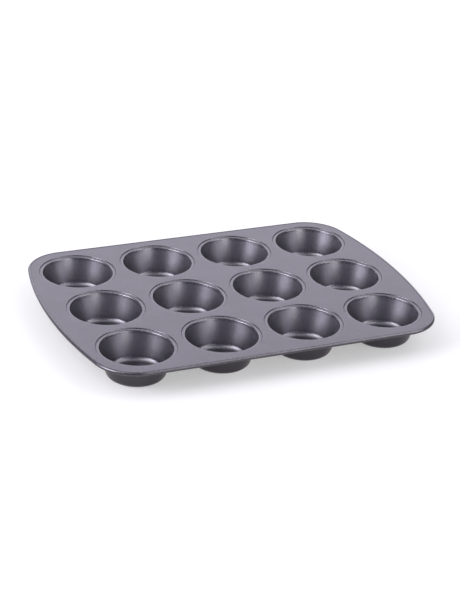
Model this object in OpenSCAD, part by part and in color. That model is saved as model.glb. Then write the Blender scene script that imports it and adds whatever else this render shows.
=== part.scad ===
// Twelve-cup muffin tin. A pressed sheet steel tray has its edge rolled round a wire, and
// twelve drawn cups hang in it, each with a flange that lies in a stepped seat.
// Millimetres, +Z up. The origin is on the surface the tin stands on, under its middle.

/* [Tray] */
// Length over the middles of the two bowed ends
tray_length = 370; // [362:1:400]
// Depth over the two straight sides
tray_depth = 269.4; // [262.2:1.8:276.6]
// Radius of the four corners, in plan
corner_radius = 42; // [37.5:0.9:46.5]
// Thickness of the tray's sheet
tray_sheet = 0.7; // [0.5:0.05:0.8]

/* [Rolled rim] */
// Outside radius of the bead that the edge is rolled into
bead_radius = 2; // [1.75:0.05:2.25]
// How far the bead stands above the flat of the tray
bead_rise = 0.25; // [0.2:0.05:0.3]
// How far the sheet turns round the wire, in degrees from the top of the bead
bead_wrap = 270; // [240:5:290]

/* [Seats in the tray] */
// How far a cup's flange lies below the flat of the tray
flange_drop = 0.8; // [0.5:0.1:1.5]
// Inside diameter of the stepped wall round a flange
seat_d = 76; // [75:0.1:78]
// Radius of the inner corner at the foot of the stepped wall
seat_corner_radius = 0.15; // [0.1:0.05:0.15]
// Gap between the edge of a flange and the stepped wall
flange_gap = 0.2; // [0.16:0.02:0.4]

/* [Cups] */
// Distance between cup centres along the tray
pitch_x = 85; // [82:0.5:86.5]
// Distance between cup centres across the tray
pitch_y = 84.5; // [81.5:0.5:85.5]
// Inside diameter at the top of a cup's straight wall
mouth_d = 69; // [60:0.5:70]
// Height of the straight part of the wall
wall_rise = 22.5; // [15:0.3:33]
// Radius of the lip between the flange and the wall
lip_radius = 1.2; // [1:0.1:2]
// Outside radius of the curve between the wall and the base
base_curve = 6.5; // [2:0.5:9]
// Thickness of a cup's sheet
cup_sheet = 0.7; // [0.5:0.05:0.8]

/* [Hidden] */
tray_colour = [0.57, 0.55, 0.61];
cup_colour = [0.35, 0.34, 0.39];
wire_colour = [0.72, 0.72, 0.72];

row_names = ["front", "middle", "back"];
rows = [0:2];
columns = [0:3];
function cup_name(row, column) = str("cup_", row_names[row], "_", column + 1);

// Plan of the tray: straight long sides, bowed ends, and corner arcs tangent to both. The
// line through the two arcs' centres, on which they meet, is the long side of a triangle
// with sides in the ratio 9, 40 and 41. That gives the ends their radius, and keeps every
// centre on a round number.
half_length = tray_length / 2;
half_depth = tray_depth / 2;
bow_unit = (half_depth - corner_radius) / 9;
end_radius = corner_radius + 41 * bow_unit;
end_centre_x = half_length - end_radius;
corner = [end_centre_x + 40 * bow_unit, 9 * bow_unit];
meeting_line = 2 * [40, 9];

// Section of a cup: flange, lip, straight wall, curve and flat base, all one sheet thick.
// The wall leans out by 7 for every 24 that it rises, so it is the long side of a triangle
// with sides in the ratio 7, 24 and 25, and every point of the section is a round number.
wall_slope = atan2(7, 24);
wall_out = [24, -7] / 25;
wall_run = [7, 24] * wall_rise / 24;
lip_inner = lip_radius - cup_sheet;
base_inner = base_curve - cup_sheet;
base_to_lip = (base_curve + lip_inner) * wall_out + wall_run;
lip_centre = [mouth_d / 2 + lip_radius * wall_out.x, base_curve + base_to_lip.y];
base_centre = lip_centre - base_to_lip;
cup_height = lip_centre.y + lip_radius;
flat_height = cup_height + flange_drop;

// Section of the rim: the flat runs into the side of the bead and ends within its wall, and
// the wire fills the bore that the rolled sheet leaves.
wire_radius = bead_radius - tray_sheet;
bead_z = flat_height + bead_rise - bead_radius;
flat_inset = 1.435 * bead_radius;

// Section of a seat: its floor carries the flange, and its hole clears the lip's underside.
seat_radius = seat_d / 2;
seat_depth = flange_drop + cup_sheet;
seat_edge_radius = seat_corner_radius + tray_sheet;
seat_outer_radius = seat_radius + seat_edge_radius;
hole_radius = lip_centre.x + 0.1;
flange_radius = seat_radius - flange_gap;

$fn = 128;
end_facets = 720;
section_facets = 48;

// A ring or a disc, cut down to the slice between two angles less than a full turn apart.
module slice(inner, outer, from, to) {
    steps = ceil((to - from) / 60);
    reach = 2 * outer;
    intersection() {
        difference() {
            circle(r = outer);
            if (inner > 0) circle(r = inner);
        }
        polygon(concat([[0, 0]], [
            for (i = [0:steps])
                let (angle = from + (to - from) * i / steps)
                reach * [cos(angle), sin(angle)]
        ]));
    }
}

// A rectangle between two opposite corners.
module block(from, to) {
    polygon([from, [to.x, from.y], to, [from.x, to.y]]);
}

module at_each_cup() {
    for (row = rows, column = columns) at_cup(row, column) children();
}

module at_cup(row, column) {
    translate([(column - 1.5) * pitch_x, (row - 1) * pitch_y]) children();
}

// The part of the plan where a bowed end's arc runs.
module end_zone() {
    far = corner + meeting_line;
    polygon([corner, far, [far.x, -far.y], [corner.x, -corner.y]]);
}

// The part of the plan where a corner's arc runs.
module corner_zone() {
    far = corner + meeting_line;
    top = corner.y + meeting_line.x;
    polygon([corner, far, [far.x, top], [corner.x, top]]);
}

// Outline of the flat sheet.
module flat_plan() {
    square([2 * corner.x, 2 * (half_depth - flat_inset)], center = true);
    for (end = [0, 1]) mirror([end, 0]) {
        intersection() {
            translate([end_centre_x, 0]) circle(r = end_radius - flat_inset);
            end_zone();
        }
        for (side = [0, 1]) mirror([0, side]) intersection() {
            translate(corner) circle(r = corner_radius - flat_inset);
            corner_zone();
        }
    }
}

// Runs a section round the tray's edge. The section's origin follows the middle of the
// bead, with its X axis pointing outwards and its Y axis up.
module round_the_edge() {
    for (side = [0, 1]) mirror([0, side, 0])
        translate([0, half_depth - bead_radius, bead_z]) rotate([90, 0, 90])
            linear_extrude(2 * corner.x, center = true) children();
    for (end = [0, 1]) mirror([end, 0, 0]) {
        intersection() {
            translate([end_centre_x, 0, bead_z]) rotate_extrude($fn = end_facets)
                translate([end_radius - bead_radius, 0]) children();
            linear_extrude(2 * bead_z) end_zone();
        }
        for (side = [0, 1]) mirror([0, side, 0]) intersection() {
            translate([corner.x, corner.y, bead_z]) rotate_extrude()
                translate([corner_radius - bead_radius, 0]) children();
            linear_extrude(2 * bead_z) corner_zone();
        }
    }
}

// The sheet's rolled edge: up from the flat, over, down the outside and back in underneath.
module bead_section() {
    slice(wire_radius, bead_radius, 90 - bead_wrap, 135, $fn = section_facets);
}

// Half section of a seat, with Y measured up from the flat of the tray.
module seat_section() {
    wall_top_y = -seat_edge_radius;
    wall_foot_y = seat_corner_radius - seat_depth;
    floor_edge = seat_radius - seat_corner_radius;
    translate([seat_outer_radius, wall_top_y])
        slice(seat_corner_radius, seat_edge_radius, 90, 180, $fn = section_facets);
    block([seat_radius, wall_foot_y], [seat_radius + tray_sheet, wall_top_y]);
    translate([floor_edge, wall_foot_y])
        slice(seat_corner_radius, seat_edge_radius, -90, 0, $fn = section_facets);
    block([hole_radius, -seat_depth - tray_sheet], [floor_edge, -seat_depth]);
}

// Half section of a cup, with Y measured up from the underside of its base.
module cup_section() {
    block([0, 0], [base_centre.x, cup_sheet]);
    translate(base_centre)
        slice(base_inner, base_curve, -90, -wall_slope, $fn = section_facets);
    polygon([
        base_centre + base_inner * wall_out,
        base_centre + base_curve * wall_out,
        lip_centre - lip_inner * wall_out,
        lip_centre - lip_radius * wall_out
    ]);
    translate(lip_centre)
        slice(lip_inner, lip_radius, 90, 180 - wall_slope, $fn = section_facets);
    block([lip_centre.x, cup_height - cup_sheet], [flange_radius, cup_height]);
}

// The pressed sheet: flat top, twelve stepped seats and the rolled edge.
module tray() {
    color(tray_colour) {
        translate([0, 0, flat_height - tray_sheet]) linear_extrude(tray_sheet) difference() {
            flat_plan();
            at_each_cup() circle(r = seat_outer_radius);
        }
        at_each_cup() translate([0, 0, flat_height]) rotate_extrude() seat_section();
        round_the_edge() bead_section();
    }
}

// The stiffening wire, closed on itself inside the rolled edge.
module rim_wire() {
    color(wire_colour) round_the_edge() circle(r = wire_radius, $fn = section_facets);
}

// One drawn cup, hanging by its flange.
module cup(row, column) {
    color(cup_colour) at_cup(row, column) rotate_extrude() cup_section();
}

tray();
rim_wire();
for (row = rows, column = columns)
    cup(row, column);
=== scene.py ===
"""A twelve-cup muffin tin in dark satin non-stick coating, on a pale floor in soft light.

The sheet parts are remade here from their sections, with true sheet thickness and exact
surface normals, and each one stands in for a CAD node, which it hides.
"""

import math

import bpy
from mathutils import Matrix, Vector


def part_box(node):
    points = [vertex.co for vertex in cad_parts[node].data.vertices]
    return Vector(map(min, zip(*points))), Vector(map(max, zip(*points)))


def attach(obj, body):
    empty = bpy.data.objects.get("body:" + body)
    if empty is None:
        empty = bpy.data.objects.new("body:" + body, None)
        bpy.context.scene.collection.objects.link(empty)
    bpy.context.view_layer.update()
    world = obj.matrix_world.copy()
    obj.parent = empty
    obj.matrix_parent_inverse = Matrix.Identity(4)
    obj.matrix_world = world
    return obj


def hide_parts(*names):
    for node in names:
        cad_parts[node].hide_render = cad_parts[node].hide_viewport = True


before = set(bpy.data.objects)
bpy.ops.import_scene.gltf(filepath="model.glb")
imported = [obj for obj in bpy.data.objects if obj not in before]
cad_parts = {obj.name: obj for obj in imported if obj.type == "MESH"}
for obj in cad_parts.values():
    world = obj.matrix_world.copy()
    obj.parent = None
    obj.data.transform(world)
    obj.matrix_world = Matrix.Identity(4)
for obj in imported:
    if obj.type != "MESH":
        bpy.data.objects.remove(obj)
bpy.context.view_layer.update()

MM = 0.001

# ---------------------------------------------------------------- sizes, in metres

ROWS = ("front", "middle", "back")
COLUMNS = 4
CUPS = {f"cup_{row}_{n + 1}": (n, r) for r, row in enumerate(ROWS) for n in range(COLUMNS)}

tray_low, tray_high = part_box("tray")
cup_low, cup_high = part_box("cup_front_1")

SHEET = 0.7 * MM
HALF_LENGTH = tray_high.x
HALF_DEPTH = tray_high.y

# Plan: the corner arcs meet the bowed ends on a line that rises 9 for every 40 along.
CORNER_RADIUS = 42 * MM
RISE, RUN, SLANT = 9, 40, 41
bow_unit = (HALF_DEPTH - CORNER_RADIUS) / RISE
END_RADIUS = CORNER_RADIUS + SLANT * bow_unit
END_CENTRE = Vector((HALF_LENGTH - END_RADIUS, 0))
CORNER_CENTRE = END_CENTRE + Vector((RUN, RISE)) * bow_unit

# Rolled rim round its wire, standing a little above the flat with a soft crease between.
# TOP is the height of the flat, and BEAD_REACH how far the bead's middle is beyond its edge.
BEAD_RADIUS = 2 * MM
BEAD_RISE = 0.25 * MM
BEAD_WRAP = 270
WIRE_RADIUS = BEAD_RADIUS - SHEET
BEAD_Z = tray_high.z - BEAD_RADIUS
TOP = tray_high.z - BEAD_RISE
CREASE = 0.9 * MM
CREASE_UP = TOP + CREASE - BEAD_Z
BEAD_REACH = math.sqrt((BEAD_RADIUS + CREASE) ** 2 - CREASE_UP ** 2)
FLAT_INSET = BEAD_RADIUS + BEAD_REACH

# How fast painted shade darkens the coat on the rim as it turns into the crease, and where and
# how fast it does on the way down the outside of the bead
CREASE_PAINTED_SHADE = 2.2
OUTSIDE_START, OUTSIDE_PAINTED_SHADE = 1.35, 1.6

# Cups
CUP_TOP = cup_high.z
FLANGE_RADIUS = (cup_high.x - cup_low.x) / 2
MOUTH_RADIUS = 34.5 * MM
WALL_OUT = Vector((24, -7)) / 25
WALL_DOWN = Vector((-7, -24)) / 25
WALL_SLOPE = math.degrees(math.atan2(7, 24))
LIP_RADIUS = 1.2 * MM
LIP_CENTRE = Vector((MOUTH_RADIUS + LIP_RADIUS * WALL_OUT.x, CUP_TOP - LIP_RADIUS))
BASE_CURVE = 6.5 * MM

# Seats that the cup flanges lie in
SEAT_RADIUS = FLANGE_RADIUS + 0.2 * MM
SEAT_EDGE = 0.85 * MM
SEAT_FLOOR = CUP_TOP - SHEET
SEAT_OUTER = SEAT_RADIUS + SEAT_EDGE
HOLE_RADIUS = LIP_CENTRE.x + 0.1 * MM

# Fineness of the meshes
AROUND = 96
CUT_EDGE = 0.12 * MM
CUT_EDGE_STEPS = 3
WELD = 0.002 * MM
ON_BORDER = 0.01 * MM
HALVINGS = 50


# ---------------------------------------------------------------- sections of bent sheet

# A section is a list of points, each with its normal and how far the coating is rubbed there,
# which on the lips and the bead is partly a painted highlight; seen() then adds the painted shade.

def arc(centre, radius, start, end, facing=1, step=11, wear_and_highlight=0.0):
    """Points of an arc, in degrees: facing 1 looks outwards and -1 inwards."""
    count = max(2, math.ceil(abs(end - start) / step))
    points = []
    for i in range(count + 1):
        angle = math.radians(start + (end - start) * i / count)
        out = Vector((math.cos(angle), math.sin(angle)))
        points.append((Vector(centre) + radius * out, facing * out, wear_and_highlight))
    return points


def line(start, end, normal, count=1):
    """Points inside a straight stretch, without its two ends."""
    start, end = Vector(start), Vector(end)
    return [(start.lerp(end, i / count), Vector(normal), 0.0) for i in range(1, count)]


def cut_edge(inner, outer, wear_and_highlight=0.0):
    """The rounded edge of a sheet that ends between these two points of its faces."""
    inner, outer = Vector(inner), Vector(outer)
    across = (outer - inner).normalized()
    out = Vector((across.y, -across.x))
    points = []
    for corner, start in ((outer - across * CUT_EDGE, across), (inner + across * CUT_EDGE, out)):
        turn = -math.pi / 2
        for i in range(CUT_EDGE_STEPS + 1):
            normal = Matrix.Rotation(turn * i / CUT_EDGE_STEPS, 2) @ start
            points.append((corner - out * CUT_EDGE + normal * CUT_EDGE, normal, wear_and_highlight))
    return points


def seen(points, underneath=0.0):
    """Adds how much painted shade each point takes, as the darker coat of the underside."""
    return [point + (underneath,) for point in points]


def cup_section():
    """Half section of a cup, from the middle of its floor over the lip and back down its outside
    to the middle of its bottom.
    """
    wall_top = LIP_CENTRE - (LIP_RADIUS - SHEET) * WALL_OUT
    wall_length = (wall_top.y - BASE_CURVE * (1 + WALL_OUT.y)) / -WALL_DOWN.y
    base = wall_top + wall_length * WALL_DOWN - BASE_CURVE * WALL_OUT
    up, under = Vector((0, 1)), Vector((0, -1))
    floor_steps = (0, 0.12, 0.3, 0.5, 0.75)
    floor = [(Vector((base.x * step, SHEET)), up, 0.0) for step in floor_steps]
    inner_curve = arc(base, BASE_CURVE - SHEET, -90, -WALL_SLOPE, -1, 6, 0.4)
    # On the lip the paler edge coat is partly scuffing and partly a painted highlight.
    lip_top = arc(LIP_CENTRE, LIP_RADIUS, 180 - WALL_SLOPE, 90, 1, 9, 0.9)
    flange_top = line((LIP_CENTRE.x, CUP_TOP), (FLANGE_RADIUS, CUP_TOP), up, 2)
    flange_end = cut_edge((FLANGE_RADIUS, CUP_TOP - SHEET), (FLANGE_RADIUS, CUP_TOP), 0.6)
    lip_under = arc(LIP_CENTRE, LIP_RADIUS - SHEET, 90, 180 - WALL_SLOPE, -1, 9)
    outer_curve = arc(base, BASE_CURVE, -WALL_SLOPE, -90, 1, 6, 0.35)
    inside = line(inner_curve[-1][0], lip_top[0][0], -WALL_OUT, 8)
    outside = line(lip_under[-1][0], outer_curve[0][0], WALL_OUT, 8)
    underside = [(Vector((base.x * step, 0)), under, 0.2) for step in reversed(floor_steps)]
    top_face = seen(floor + inner_curve + inside + lip_top + flange_top + flange_end)
    # The under faces, the outside of the cup included, take the full painted shade.
    return (top_face + seen(lip_under + outside + outer_curve + underside, 1.0))[::-1]


def seat_section():
    """Half section of a seat, from the top of the tray down, round the hole and back up."""
    bend = (SEAT_OUTER, TOP - SEAT_EDGE)
    foot = SEAT_EDGE - SHEET
    corner = (SEAT_RADIUS - foot, SEAT_FLOOR + foot)
    hole_edge = cut_edge((HOLE_RADIUS, SEAT_FLOOR), (HOLE_RADIUS, SEAT_FLOOR - SHEET))
    top_face = arc(bend, SEAT_EDGE, 90, 180, 1, 12, 0.7) + arc(corner, foot, 0, -90, -1, 30)
    back_face = arc(corner, SEAT_EDGE, -90, 0, 1, 15) + arc(bend, foot, 180, 90, -1, 30)
    # The seat's back face takes the full painted shade.
    return seen(top_face + hole_edge[::-1]) + seen(back_face, 1.0)


def rim_painted_shade(normal):
    """How much painted shade a point of the rim's top face takes, towards the darker coat of the
    underside.
    """
    outside = OUTSIDE_START - OUTSIDE_PAINTED_SHADE * normal.y
    return min(1, max(0, -CREASE_PAINTED_SHADE * normal.x, outside))


def rim_section():
    """Section of the rolled edge, as far out from the flat and up from the bead's middle."""
    bead, crease = (BEAD_REACH, 0), (0, CREASE_UP)
    last, meet = 90 - BEAD_WRAP, math.degrees(math.atan2(-CREASE_UP, BEAD_REACH))
    # On the bead the paler edge coat is partly scuffing and partly a painted highlight.
    outer = arc(bead, BEAD_RADIUS, meet + 180, last, 1, 11, 0.6)
    inner = arc(bead, WIRE_RADIUS, last, meet + 180, -1, 11)
    end = cut_edge(inner[0][0], outer[-1][0])
    top_face = arc(crease, CREASE, -90, meet, -1, 7)[:-1] + outer[:-1]
    back_face = end + inner[1:-1] + arc(crease, CREASE + SHEET, meet, -90, 1, 7)
    # The top face takes painted shade in the crease and down the outside of the bead; the back
    # face takes it in full.
    return [point + (rim_painted_shade(point[1]),) for point in top_face] + seen(back_face, 1.0)


# ---------------------------------------------------------------- plan of the tray

def edge_at(x, y, inset):
    """How far a point lies beyond the outline, drawn in by inset, and the way out there."""
    point = Vector((abs(x), abs(y)))
    from_corner = point - CORNER_CENTRE
    if point.x <= CORNER_CENTRE.x:
        beyond, out = point.y - HALF_DEPTH, Vector((0, 1))
    else:
        at_corner = from_corner.y * RUN > from_corner.x * RISE
        centre, radius = (CORNER_CENTRE, CORNER_RADIUS) if at_corner else (END_CENTRE, END_RADIUS)
        arm = point - centre
        beyond, out = arm.length - radius, arm.normalized()
    return beyond + inset, Vector((math.copysign(out.x, x), math.copysign(out.y, y)))


def reach_edge(start, way, inset):
    """Distance from start to the outline, drawn in by inset, along a unit vector."""
    near, far = 0.0, 2 * HALF_LENGTH
    for _ in range(HALVINGS):
        middle = (near + far) / 2
        point = start + way * middle
        if edge_at(point.x, point.y, inset)[0] < 0:
            near = middle
        else:
            far = middle
    return near


def cup_centre(name):
    low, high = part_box(name)
    return Vector(((low.x + high.x) / 2, (low.y + high.y) / 2))


PITCH = cup_centre("cup_middle_2") - cup_centre("cup_front_1")


def cell_border(name):
    """The border of the part of the sheet round one cup, as a point for each spoke."""
    centre = cup_centre(name)
    column, row = CUPS[name]
    walls = []
    if column > 0:
        walls.append((Vector((-1, 0)), PITCH.x / 2))
    if column < COLUMNS - 1:
        walls.append((Vector((1, 0)), PITCH.x / 2))
    if row > 0:
        walls.append((Vector((0, -1)), PITCH.y / 2))
    if row < len(ROWS) - 1:
        walls.append((Vector((0, 1)), PITCH.y / 2))

    def reach(way):
        hits = [distance / way.dot(side) for side, distance in walls if way.dot(side) > 1e-9]
        return min(hits + [reach_edge(centre, way, FLAT_INSET)])

    spokes = []
    for i in range(AROUND):
        angle = 2 * math.pi * i / AROUND
        way = Vector((math.cos(angle), math.sin(angle)))
        spokes.append(centre + way * reach(way))
    for side, distance in walls:
        for turn in (Vector((-side.y, side.x)), Vector((side.y, -side.x))):
            foot = centre + side * distance
            limits = [d for other, d in walls if other.dot(turn) > 0.5]
            corner = foot + turn * min(limits + [reach_edge(foot, turn, FLAT_INSET)])
            arm = corner - centre
            nearest = round(math.atan2(arm.y, arm.x) / (2 * math.pi) * AROUND) % AROUND
            spokes[nearest] = corner
    return centre, spokes


# ---------------------------------------------------------------- mesh building

class Skin:
    """Collects vertices with their normals and faces, then makes one smooth mesh object."""

    def __init__(self):
        self.points, self.normals, self.faces, self.index = [], [], [], {}
        self.worn, self.beneath, self.drawn = [], [], []

    def point(self, position, normal, wear_and_highlight=0.0, underneath=0.0, drawn=(0, 0, 0)):
        key = tuple(round(c / WELD) for c in position)
        if key not in self.index:
            self.index[key] = len(self.points)
            self.points.append(Vector(position))
            self.normals.append(Vector(normal))
            self.worn.append(wear_and_highlight)
            self.beneath.append(underneath)
            self.drawn.extend(drawn)
        return self.index[key]

    def face(self, *corners):
        distinct = list(dict.fromkeys(corners))
        if len(distinct) > 2:
            self.faces.append(distinct)

    def bridge(self, loop_a, loop_b, closed=True):
        """Quads between two loops of the same length."""
        count = len(loop_a)
        for i in range(count if closed else count - 1):
            j = (i + 1) % count
            self.face(loop_a[i], loop_a[j], loop_b[j], loop_b[i])

    def build(self, name):
        mesh = bpy.data.meshes.new(name)
        mesh.from_pydata(self.points, [], self.faces)
        # Edge wear, partly a painted highlight, and the painted shade of each point go to the
        # coating as attributes.
        for name, values in (("edge_wear_and_highlight", self.worn), ("underneath", self.beneath)):
            mesh.attributes.new(name, "FLOAT", "POINT").data.foreach_set("value", values)
        drawn = mesh.attributes.new("drawn_along", "FLOAT_VECTOR", "POINT")
        drawn.data.foreach_set("vector", self.drawn)
        for polygon in mesh.polygons:
            polygon.use_smooth = True
        mesh.normals_split_custom_set_from_vertices(self.normals)
        obj = bpy.data.objects.new(name, mesh)
        bpy.context.scene.collection.objects.link(obj)
        return obj


def turned(skin, section, centre):
    """Turns a half section about an upright axis."""
    loops = []
    for point, normal, wear_and_highlight, underneath in section:
        loop = []
        for i in range(AROUND):
            angle = 2 * math.pi * i / AROUND
            c, s = math.cos(angle), math.sin(angle)
            arm = Vector((point.x * c, point.x * s, point.y))
            position = (centre.x + arm.x, centre.y + arm.y, arm.z)
            facing = (normal.x * c, normal.x * s, normal.y)
            loop.append(skin.point(position, facing, wear_and_highlight, underneath, arm))
        loops.append(loop)
    for low, high in zip(loops, loops[1:]):
        skin.bridge(low, high)
    return loops


def make_cup(name):
    skin = Skin()
    turned(skin, cup_section(), cup_centre(name))
    return skin.build(name.replace("cup", "drawn_cup"))


def swept(skin, section, path, height):
    """Runs a section along a closed path of points with their ways out."""
    run = [0.0]
    for (foot, _), (following, _) in zip(path, path[1:]):
        run.append(run[-1] + (following - foot).length)
    loops = []
    for point, normal, wear_and_highlight, underneath in section:
        loop = []
        for (foot, out), length in zip(path, run):
            place = foot + out * point.x
            position = (place.x, place.y, height + point.y)
            facing = (out.x * normal.x, out.y * normal.x, normal.y)
            drawn = (point.x, point.y, length)
            loop.append(skin.point(position, facing, wear_and_highlight, underneath, drawn))
        loops.append(loop)
    return loops


def make_tray():
    """The whole pressed sheet, with both its faces, in one closed skin."""
    skin = Skin()
    section = seat_section()
    rings = (0, 0.03, 0.2, 0.45, 0.7, 0.9, 1)
    border = {}
    for name in CUPS:
        centre, spokes = cell_border(name)
        loops = turned(skin, section, centre)
        for height, facing, seat_loop in ((TOP, 1, loops[0]), (TOP - SHEET, -1, loops[-1])):
            previous = seat_loop
            for ring in rings[1:]:
                loop = []
                for i, spoke in enumerate(spokes):
                    angle = 2 * math.pi * i / AROUND
                    start = centre + SEAT_OUTER * Vector((math.cos(angle), math.sin(angle)))
                    place = start.lerp(spoke, ring)
                    position = (place.x, place.y, height)
                    # The flat's under face takes the full painted shade, its top face none.
                    loop.append(skin.point(position, (0, 0, facing), 0.0, (1 - facing) / 2))
                if facing > 0:
                    skin.bridge(loop, previous)
                else:
                    skin.bridge(previous, loop)
                previous = loop
        for spoke in spokes:
            beyond, out = edge_at(spoke.x, spoke.y, FLAT_INSET)
            if beyond > -ON_BORDER:
                border[round(math.atan2(spoke.y, spoke.x), 7)] = (spoke, out)
    path = [border[key] for key in sorted(border)]
    loops = swept(skin, rim_section(), path, BEAD_Z)
    for low, high in zip(loops, loops[1:]):
        skin.bridge(high, low)
    return skin.build("pressed_tray"), path


def make_wire(path):
    skin = Skin()
    section = seen(arc((BEAD_REACH, 0), WIRE_RADIUS, 0, 360, 1, 20)[:-1])
    loops = swept(skin, section, path, BEAD_Z)
    for low, high in zip(loops, loops[1:] + loops[:1]):
        skin.bridge(low, high)
    return skin.build("wire_core")


tray, edge_path = make_tray()
wire = make_wire(edge_path)
cups = {name: make_cup(name) for name in CUPS}


# ---------------------------------------------------------------- materials

# Sizes of the coating's grain, and depths of its relief
FLAKE_SIZE, FLAKE_DEPTH = 0.8 * MM, 0.002 * MM
GRAIN_SIZE, GRAIN_DEPTH = 2.2 * MM, 0.004 * MM
CLOUD_SIZE = 28 * MM
SCUFF_SIZE = 4 * MM
DRAWN_LINE_SIZE, DRAWN_LINE_DEPTH = 0.045, 0.003 * MM

DARK_COAT = (0.133, 0.129, 0.142, 1)
LIGHT_COAT = (0.24, 0.232, 0.256, 1)
# Painted shade: the darker colour of the under faces, the outside of the cups, the rim's crease
# and the outside of its bead.
PAINTED_SHADE_COAT = (0.078, 0.072, 0.082, 1)
BARE_STEEL_AND_HIGHLIGHT = (0.5, 0.49, 0.48, 1)


class Finish:
    """One material, with short calls for its nodes."""

    def __init__(self, name):
        self.material = bpy.data.materials.new(name)
        self.material.use_nodes = True
        self.tree = self.material.node_tree
        self.shader = self.tree.nodes["Principled BSDF"]

    def node(self, kind, inputs, **settings):
        made = self.tree.nodes.new(kind)
        for name, value in settings.items():
            setattr(made, name, value)
        self.connect(made, inputs)
        return made

    def connect(self, node, inputs):
        for socket, value in inputs.items():
            if isinstance(value, bpy.types.NodeSocket):
                self.tree.links.new(value, node.inputs[socket])
            else:
                node.inputs[socket].default_value = value

    def place(self):
        return self.node("ShaderNodeTexCoord", {}).outputs["Object"]

    def attribute(self, name, output):
        return self.node("ShaderNodeAttribute", {}, attribute_name=name).outputs[output]

    def noise(self, vector, size, detail=2.0):
        """Noise from 0 to 1 whose features are about this size, in metres."""
        inputs = {"Vector": vector, "Scale": 1 / size, "Detail": detail}
        return self.node("ShaderNodeTexNoise", inputs).outputs["Fac"]

    def stretch(self, vector, factors):
        inputs = {0: vector, 1: factors}
        return self.node("ShaderNodeVectorMath", inputs, operation="MULTIPLY").outputs[0]

    def ramp(self, value, low, high, to_low=0.0, to_high=1.0):
        """Maps low..high smoothly onto to_low..to_high, and holds it beyond them."""
        inputs = {"Value": value, 1: low, 2: high, 3: to_low, 4: to_high}
        kind = {"interpolation_type": "SMOOTHSTEP"}
        return self.node("ShaderNodeMapRange", inputs, **kind).outputs["Result"]

    def math(self, operation, first, second):
        return self.node("ShaderNodeMath", {0: first, 1: second}, operation=operation).outputs[0]

    def mix(self, factor, first, second):
        made = self.node("ShaderNodeMix", {}, data_type="RGBA")
        self.connect(made, {0: factor, 6: first, 7: second})
        return made.outputs[2]

    def bump(self, height, depth, strength=1.0, over=None):
        """Relief of this depth, in metres, on top of an earlier bump."""
        inputs = {"Height": height, "Distance": depth, "Strength": strength}
        if over:
            inputs["Normal"] = over
        return self.node("ShaderNodeBump", inputs).outputs["Normal"]


def coating(name, streaks=False):
    """Dark non-stick coating with metal flake, thinned to the steel on the sharpest edges as wear
    and partly as painted highlight, with painted light up the cup walls and painted shade on the
    under faces.
    """
    finish = Finish(name)
    place = finish.place()
    flake = finish.noise(place, FLAKE_SIZE, 1.5)
    grain = finish.noise(place, GRAIN_SIZE, 3)
    cloud = finish.noise(place, CLOUD_SIZE, 3)

    # Flake gives the satin its sparkle, and the cloud a slow drift in shade.
    shade = finish.math("ADD", finish.ramp(flake, 0.3, 0.7, -0.28, 0.28),
                        finish.ramp(cloud, 0.3, 0.7, 0.42, 0.58))
    if streaks:
        around = finish.node(
            "ShaderNodeVectorMath",
            {0: finish.stretch(finish.attribute("drawn_along", "Vector"), (1, 1, 0))},
            operation="NORMALIZE",
        ).outputs[0]
        lines = finish.noise(around, DRAWN_LINE_SIZE, 2)
        shade = finish.math("ADD", shade, finish.ramp(lines, 0.3, 0.7, -0.1, 0.1))
    # Painted light: the coat is made paler up the walls of the cups, from just above their floors
    # to just below their lips.
    height = finish.node("ShaderNodeSeparateXYZ", {0: place}).outputs["Z"]
    painted_wall_light = finish.math("MULTIPLY", finish.ramp(height, 2 * MM, 9 * MM),
                       finish.ramp(height, CUP_TOP - 1 * MM, CUP_TOP - 4 * MM))
    shade = finish.math("ADD", shade, finish.math("MULTIPLY", painted_wall_light, 0.42))
    colour = finish.mix(shade, DARK_COAT, LIGHT_COAT)
    # Painted shade: darkens the under faces, the outside of the cups, the rim's crease and the
    # outside of its bead.
    colour = finish.mix(finish.attribute("underneath", "Fac"), colour, PAINTED_SHADE_COAT)

    # Edges are burnished smooth all along, and the sharpest are a little paler: scuffs, and on the
    # lips and the bead partly a painted highlight.
    edge = finish.attribute("edge_wear_and_highlight", "Fac")
    scuff_and_highlight = finish.math("MULTIPLY", finish.ramp(edge, 0.5, 1, 0, 0.15),
                          finish.ramp(finish.noise(place, SCUFF_SIZE, 3), 0.35, 0.7))
    colour = finish.mix(scuff_and_highlight, colour, BARE_STEEL_AND_HIGHLIGHT)

    gloss = finish.math("ADD", finish.ramp(flake, 0.3, 0.7, 0.3, 0.42),
                        finish.ramp(cloud, 0.3, 0.7, -0.01, 0.01))
    gloss = finish.math("SUBTRACT", gloss, finish.math("MULTIPLY", edge, 0.12))

    rough = finish.ramp(edge, 0, 0.5, 1, 0.1)
    relief = finish.bump(grain, GRAIN_DEPTH, rough)
    relief = finish.bump(flake, FLAKE_DEPTH, rough, relief)
    if streaks:
        relief = finish.bump(lines, DRAWN_LINE_DEPTH, rough, relief)
    finish.connect(finish.shader, {
        "Base Color": colour, "Metallic": 1.0, "Roughness": gloss, "Normal": relief,
    })
    return finish.material


def drawn_steel(name):
    """Bright wire with fine lines along its length from the die."""
    finish = Finish(name)
    along = finish.stretch(finish.attribute("drawn_along", "Vector"), (1, 1, 0.02))
    lines = finish.noise(along, 0.15 * MM, 2)
    stain = finish.noise(finish.place(), 9 * MM, 3)
    colour = finish.mix(finish.ramp(stain, 0.35, 0.7), (0.56, 0.55, 0.54, 1), (0.4, 0.38, 0.36, 1))
    finish.connect(finish.shader, {
        "Base Color": colour, "Metallic": 1.0,
        "Roughness": finish.ramp(lines, 0.3, 0.7, 0.26, 0.42),
        "Normal": finish.bump(lines, 0.01 * MM),
    })
    return finish.material


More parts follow.
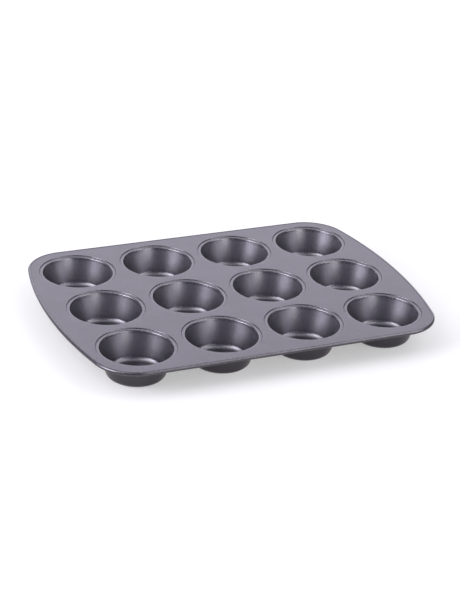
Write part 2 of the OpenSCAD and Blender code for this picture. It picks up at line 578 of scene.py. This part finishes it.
def pale_floor(name):
    """Matt white acrylic, faintly lit from below, with a slight tooth and drift in tone."""
    finish = Finish(name)
    place = finish.place()
    tone = finish.ramp(finish.noise(place, 0.5, 2), 0.3, 0.7)
    finish.connect(finish.shader, {
        "Base Color": finish.mix(tone, (0.59, 0.59, 0.58, 1), (0.61, 0.61, 0.6, 1)),
        "Roughness": 0.9, "Emission Color": (1, 1, 1, 1), "Emission Strength": 0.4,
        "Normal": finish.bump(finish.noise(place, 1.5 * MM, 2), 0.02 * MM),
    })
    return finish.material


tray_coating = coating("tray_coating")
cup_coating = coating("cup_coating", streaks=True)
wire_steel = drawn_steel("wire_steel")

for piece, material, slot, node in (
    [(tray, tray_coating, "tray_coating", "tray"), (wire, wire_steel, "wire_steel", "rim_wire")]
    + [(cup, cup_coating, "cup_coating", name) for name, cup in cups.items()]
):
    piece.data.materials.append(material)
    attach(piece, "root")
    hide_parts(node)


# ---------------------------------------------------------------- floor, light and camera

def make_floor():
    half = 6.0
    mesh = bpy.data.meshes.new("floor")
    corners = [(-half, -half, 0), (half, -half, 0), (half, half, 0), (-half, half, 0)]
    mesh.from_pydata(corners, [], [(0, 1, 2, 3)])
    floor = bpy.data.objects.new("floor", mesh)
    bpy.context.scene.collection.objects.link(floor)
    mesh.materials.append(pale_floor("pale_floor"))


def softbox(name, azimuth, elevation, width, height, brightness, tint=(1, 1, 1)):
    """A panel as the tin sees it: where it is, and how wide and high it looks, in degrees."""
    distance = 2.4
    way = Vector((
        math.cos(math.radians(azimuth)) * math.cos(math.radians(elevation)),
        math.sin(math.radians(azimuth)) * math.cos(math.radians(elevation)),
        math.sin(math.radians(elevation)),
    ))
    data = bpy.data.lights.new(name, "AREA")
    data.shape = "RECTANGLE"
    data.size = 2 * distance * math.tan(math.radians(width / 2))
    data.size_y = 2 * distance * math.tan(math.radians(height / 2))
    data.energy = math.pi * data.size * data.size_y * brightness
    data.color = tint
    lamp = bpy.data.objects.new(name, data)
    lamp.location = way * distance
    lamp.rotation_mode = "QUATERNION"
    lamp.rotation_quaternion = (-way).to_track_quat("-Z", "Y")
    bpy.context.scene.collection.objects.link(lamp)


def make_lights():
    world = bpy.data.worlds.new("studio")
    world.use_nodes = True
    background = world.node_tree.nodes["Background"]
    background.inputs["Color"].default_value = (0.8, 0.76, 1, 1)
    background.inputs["Strength"].default_value = 0.27
    bpy.context.scene.world = world
    softbox("left_low", 178, 22, 45, 20, 4.7, (1, 0.98, 1.12))
    softbox("left_middle", 185, 30, 30, 30, 3.9, (1, 0.98, 1.05))
    softbox("left_high", 185, 55, 50, 25, 2)
    softbox("right_low", 282, 15, 25, 20, 3)
    softbox("right_middle", 315, 25, 30, 25, 3.2)
    softbox("right_far", 335, 35, 30, 25, 0.8, (1, 0.98, 1.1))
    softbox("right_high", 330, 58, 50, 22, 1.6)
    softbox("back_low", 80, 22, 80, 30, 1.25, (1, 0.98, 1.06))
    softbox("back_high", 65, 45, 60, 20, 0.7, (1, 0.98, 1.06))
    softbox("top", 255, 84, 40, 40, 0.4)


def make_camera():
    azimuth, elevation, roll = math.radians(-24.47), math.radians(26.06), math.radians(3.292)
    distance = 1.7401
    aim = Vector((0.00035, -0.0042, 0.02056))
    back = Vector((
        math.sin(azimuth) * math.cos(elevation),
        -math.cos(azimuth) * math.cos(elevation),
        math.sin(elevation),
    ))
    data = bpy.data.cameras.new("camera")
    data.lens = 106.03
    data.sensor_width = 36
    data.clip_start, data.clip_end = 0.05, 50
    camera = bpy.data.objects.new("camera", data)
    camera.location = aim + back * distance
    camera.rotation_mode = "QUATERNION"
    level = (-back).to_track_quat("-Z", "Y")
    camera.rotation_quaternion = level @ Matrix.Rotation(roll, 3, "Z").to_quaternion()
    bpy.context.scene.collection.objects.link(camera)
    bpy.context.scene.camera = camera


make_floor()
make_lights()
make_camera()

scene = bpy.context.scene
scene.view_settings.view_transform = "Standard"
